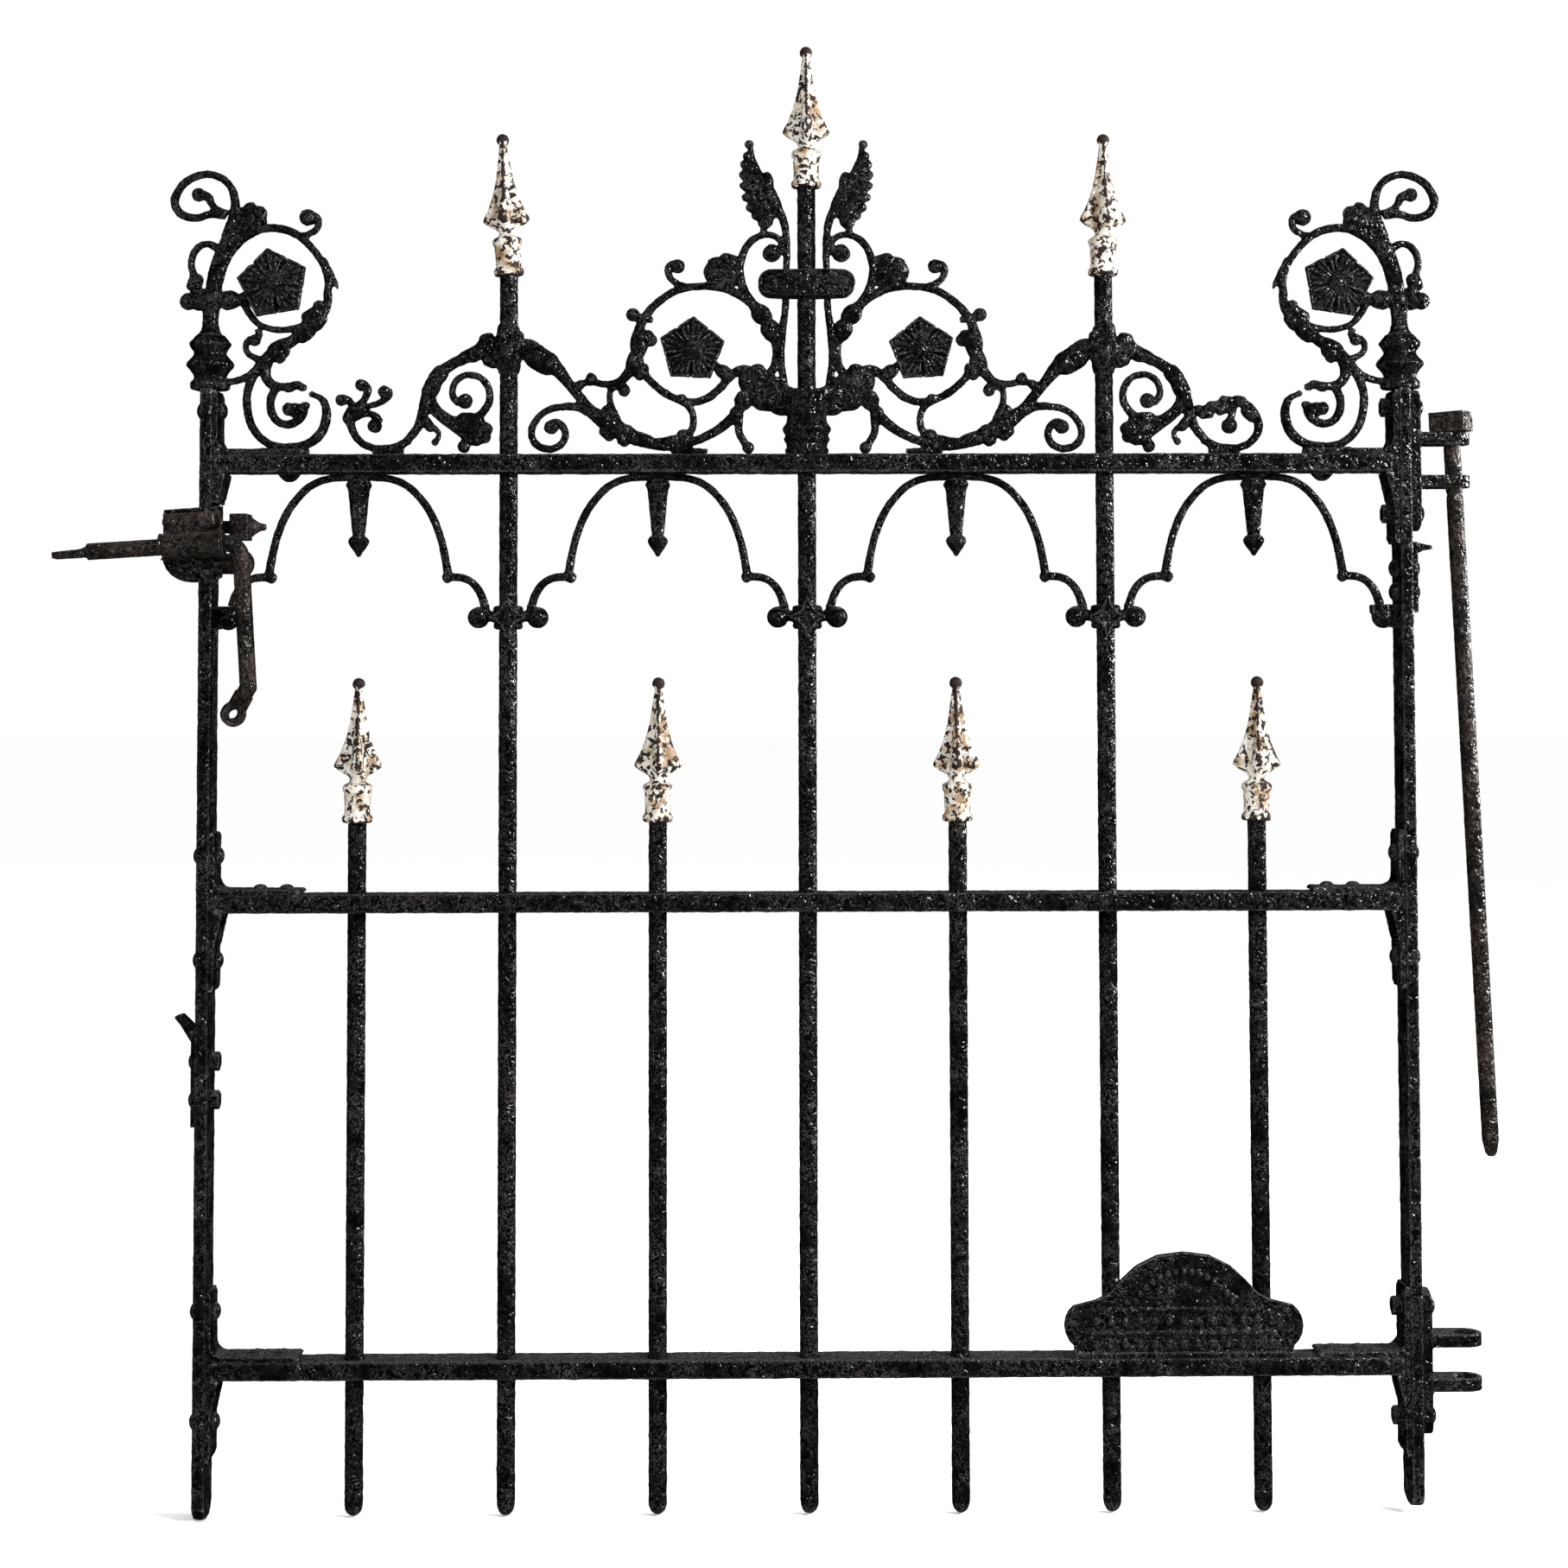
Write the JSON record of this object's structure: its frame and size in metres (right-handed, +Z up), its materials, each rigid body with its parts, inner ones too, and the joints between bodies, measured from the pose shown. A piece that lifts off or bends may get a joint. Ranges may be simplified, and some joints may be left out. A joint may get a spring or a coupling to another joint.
{
  "type": "garden gate",
  "caption": "Ornamental wrought and cast iron garden gate with round pickets, spear finials, scroll cresting, sliding latch bolt and loose hinge pin.",
  "frame": {"origin": "middle of the lower hinge's split bore, on the hinge axis, half way between its two ears", "axes": "+Z up along the hinge axis, so the lower hinge mount points along -Z; the gate reaches towards -X from the hinge to the latch; the front with the latch and rosettes faces -Y"},
  "size_m": [1.092, 0.0607, 1.1164],
  "materials": {
    "black_paint": "weathered glossy black paint over pitted iron",
    "rusty_iron": "brown rust with traces of black paint",
    "chipped_paint": "old cream paint, chipped through to black and rust"
  },
  "bodies": {
    "gate": {"latch_stile": "black_paint", "hinge_stile": "black_paint", "top_rail": "black_paint", "middle_rail": "black_paint", "bottom_rail": "black_paint", "picket_1": "black_paint", "picket_2": "black_paint", "picket_3": "black_paint", "picket_4": "black_paint", "picket_5": "black_paint", "picket_6": "black_paint", "picket_7": "black_paint", "finial_1": "chipped_paint", "finial_2": "chipped_paint", "finial_3": "chipped_paint", "finial_4": "chipped_paint", "finial_5": "chipped_paint", "finial_6": "chipped_paint", "finial_7": "chipped_paint", "bracket_top_left": "black_paint", "bracket_middle_left": "black_paint", "bracket_bottom_left": "black_paint", "bracket_top_right": "black_paint", "bracket_middle_right": "black_paint", "bracket_bottom_right": "black_paint", "corner_scroll_left": "black_paint", "corner_scroll_right": "black_paint", "side_scroll_left": "black_paint", "side_scroll_right": "black_paint", "centre_scroll_left": "black_paint", "centre_scroll_right": "black_paint", "centre_vase": "black_paint", "clamp_front": "black_paint", "clamp_back": "black_paint", "rosettes": "black_paint", "arch_1": "black_paint", "arch_2": "black_paint", "arch_3": "black_paint", "arch_4": "black_paint", "arch_pendants": "black_paint", "collar_left": "black_paint", "collar_centre": "black_paint", "collar_right": "black_paint", "stile_bosses": "black_paint", "cast_panel": "black_paint", "latch_strap": "rusty_iron", "latch_lug": "black_paint", "hinge_bracket_upper": "black_paint", "hinge_bracket_lower": "black_paint", "hook_plate": "black_paint", "stop_plate": "black_paint", "bracket_rivets": "black_paint", "hinge_bolts": "black_paint", "latch_fasteners": "rusty_iron", "plate_bolts": "black_paint", "scroll_bolts": "black_paint"},
    "latch_ring": {"latch_ring": "rusty_iron"},
    "latch_bolt": {"latch_bolt": "rusty_iron"},
    "hinge_pin": {"hinge_pin": "rusty_iron"}
  },
  "joints": [
    {"name": "latch_slide", "type": "slide", "parent": "gate", "child": "latch_ring", "axis": [0.9981, 0, 0.061], "range_m": [0, 0.05]},
    {"name": "latch_turn", "type": "hinge", "parent": "latch_ring", "child": "latch_bolt", "pos_m": [-0.961, -0.0316, 0.6175], "axis": [-0.9981, 0, -0.061], "range_deg": [0, 170]},
    {"name": "hinge_pin_lift", "type": "slide", "parent": "gate", "child": "hinge_pin", "axis": [-0.0419, 0, 0.9991], "range_m": [0, 0.07]}
  ]
}
